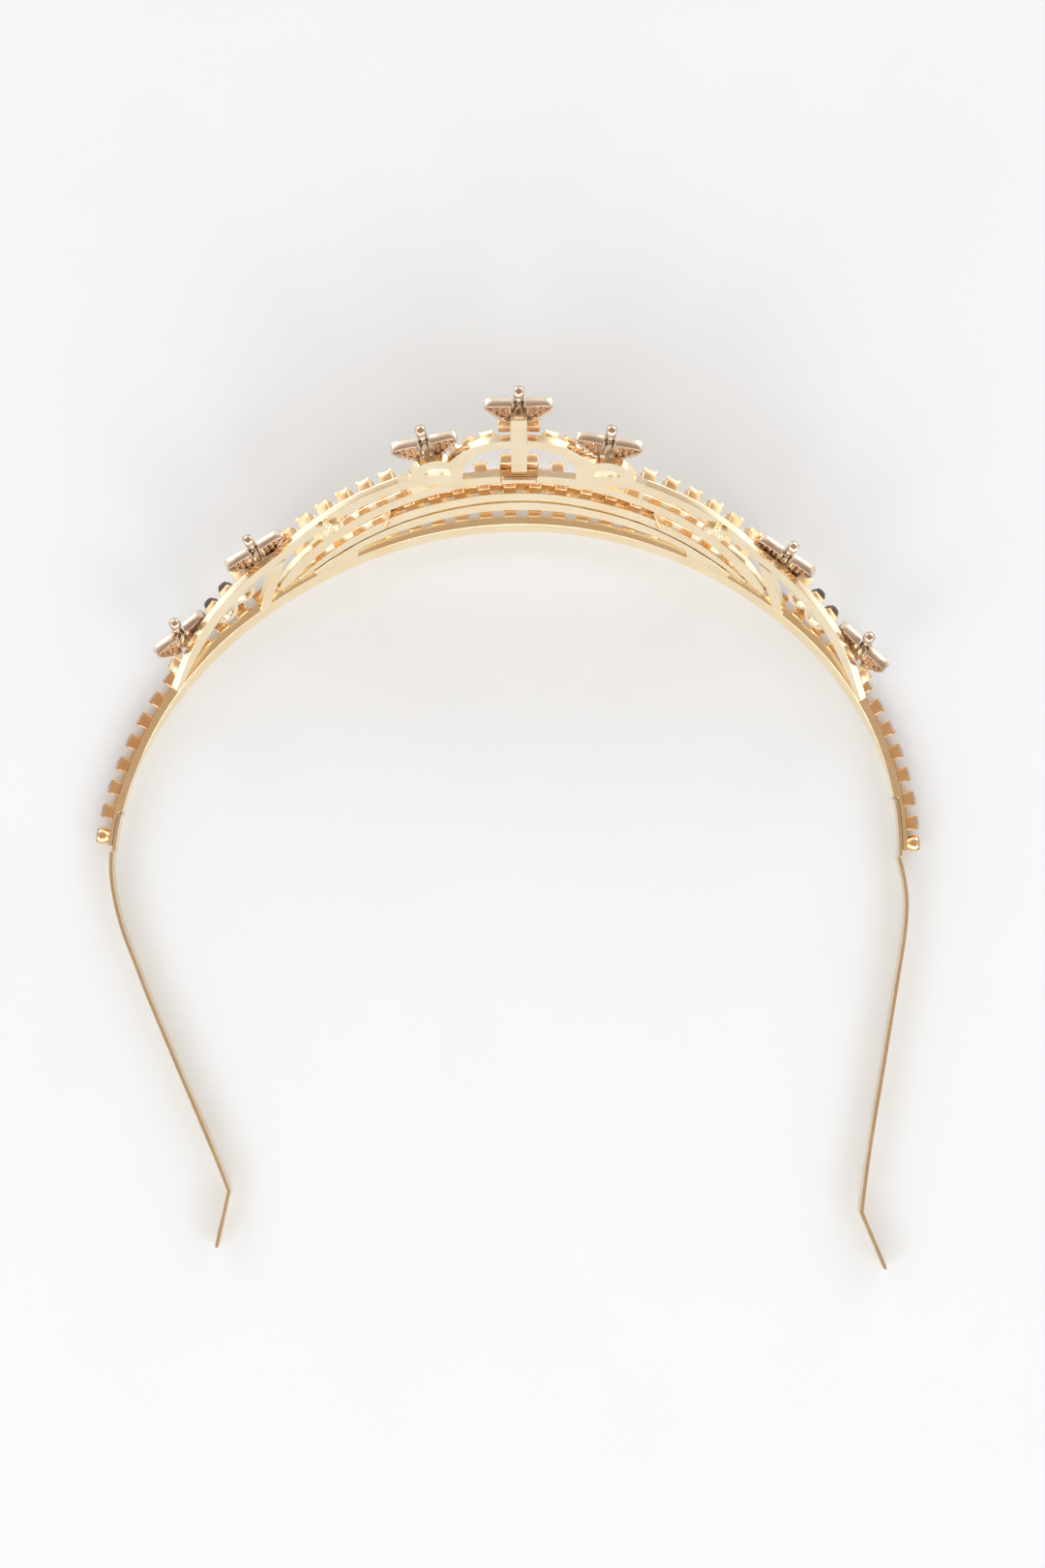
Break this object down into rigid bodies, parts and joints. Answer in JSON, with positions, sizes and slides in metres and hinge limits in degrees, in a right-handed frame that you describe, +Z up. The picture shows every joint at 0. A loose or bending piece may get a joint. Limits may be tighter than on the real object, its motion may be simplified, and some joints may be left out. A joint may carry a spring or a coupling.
{
  "type": "bridal tiara",
  "caption": "Openwork bridal tiara: horseshoe headband with an outward-leaning crest of curved rails, stone cups on the outer faces, winged motifs and two springy legs.",
  "frame": {"origin": "centre of the footprint, on the flat surface the lower rim rests on", "axes": "+Z up, out of the resting surface; +Y towards the crest at the front of the wearer's head, -Y towards the open tips of the legs; +X to the right when seen from above with the crest away from the viewer"},
  "size_m": [0.1464, 0.1504, 0.0418],
  "materials": {
    "gold_sheet": "polished pale rose gold plate",
    "gold_cups": "polished rose gold plate",
    "gold_motifs": "polished cast rose gold plate",
    "spring_strip": "plated strip, softly polished",
    "crystal": "faceted clear crystal"
  },
  "bodies": {
    "tiara_frame": {"base_band": "gold_sheet", "rail_a_left": "gold_sheet", "rail_b_left": "gold_sheet", "rail_a_right": "gold_sheet", "rail_b_right": "gold_sheet", "rail_c": "gold_sheet", "rail_d": "gold_sheet", "fan_rib_left": "gold_sheet", "fan_rib_right": "gold_sheet", "crest_panel": "gold_sheet", "centre_post": "gold_sheet", "name_plate": "gold_sheet", "leaf_left": "gold_sheet", "scroll_left": "gold_sheet", "leaf_right": "gold_sheet", "scroll_right": "gold_sheet", "cup_row_base_left": "gold_cups", "cup_row_base_right": "gold_cups", "cup_row_a_left": "gold_cups", "cup_row_a_outer_left": "gold_cups", "cup_row_b_left": "gold_cups", "cup_row_a_right": "gold_cups", "cup_row_a_outer_right": "gold_cups", "cup_row_b_right": "gold_cups", "cup_row_b_centre": "gold_cups", "cup_row_c": "gold_cups", "cup_row_arch_left": "gold_cups", "cup_row_arch_right": "gold_cups", "cup_pair_crest": "gold_cups", "cup_end_rail_left": "gold_cups", "cup_end_rail_right": "gold_cups", "end_setting_left": "gold_cups", "end_crystal_left": "crystal", "end_setting_right": "gold_cups", "end_crystal_right": "crystal", "motif_centre_wings": "gold_motifs", "motif_centre_body": "gold_motifs", "motif_inner_left_wings": "gold_motifs", "motif_inner_left_body": "gold_motifs", "motif_inner_right_wings": "gold_motifs", "motif_inner_right_body": "gold_motifs", "motif_mid_left_wings": "gold_motifs", "motif_mid_left_body": "gold_motifs", "motif_mid_right_wings": "gold_motifs", "motif_mid_right_body": "gold_motifs", "motif_outer_left_wings": "gold_motifs", "motif_outer_left_body": "gold_motifs", "motif_outer_right_wings": "gold_motifs", "motif_outer_right_body": "gold_motifs", "leg_root_left": "spring_strip", "leg_root_right": "spring_strip"},
    "left_leg": {"spring_leg_left": "spring_strip"},
    "right_leg": {"spring_leg_right": "spring_strip"}
  },
  "joints": [
    {"name": "left_leg_flex", "type": "hinge", "parent": "tiara_frame", "child": "left_leg", "pos_m": [-0.07002, -0.00159, 0.0015], "axis": [0, 0, 1], "range_deg": [-12, 5], "stiffness_Nm_per_rad": 0.3},
    {"name": "right_leg_flex", "type": "hinge", "parent": "tiara_frame", "child": "right_leg", "pos_m": [0.06918, -0.00259, 0.0015], "axis": [0, 0, 1], "range_deg": [-5, 12], "stiffness_Nm_per_rad": 0.3}
  ]
}
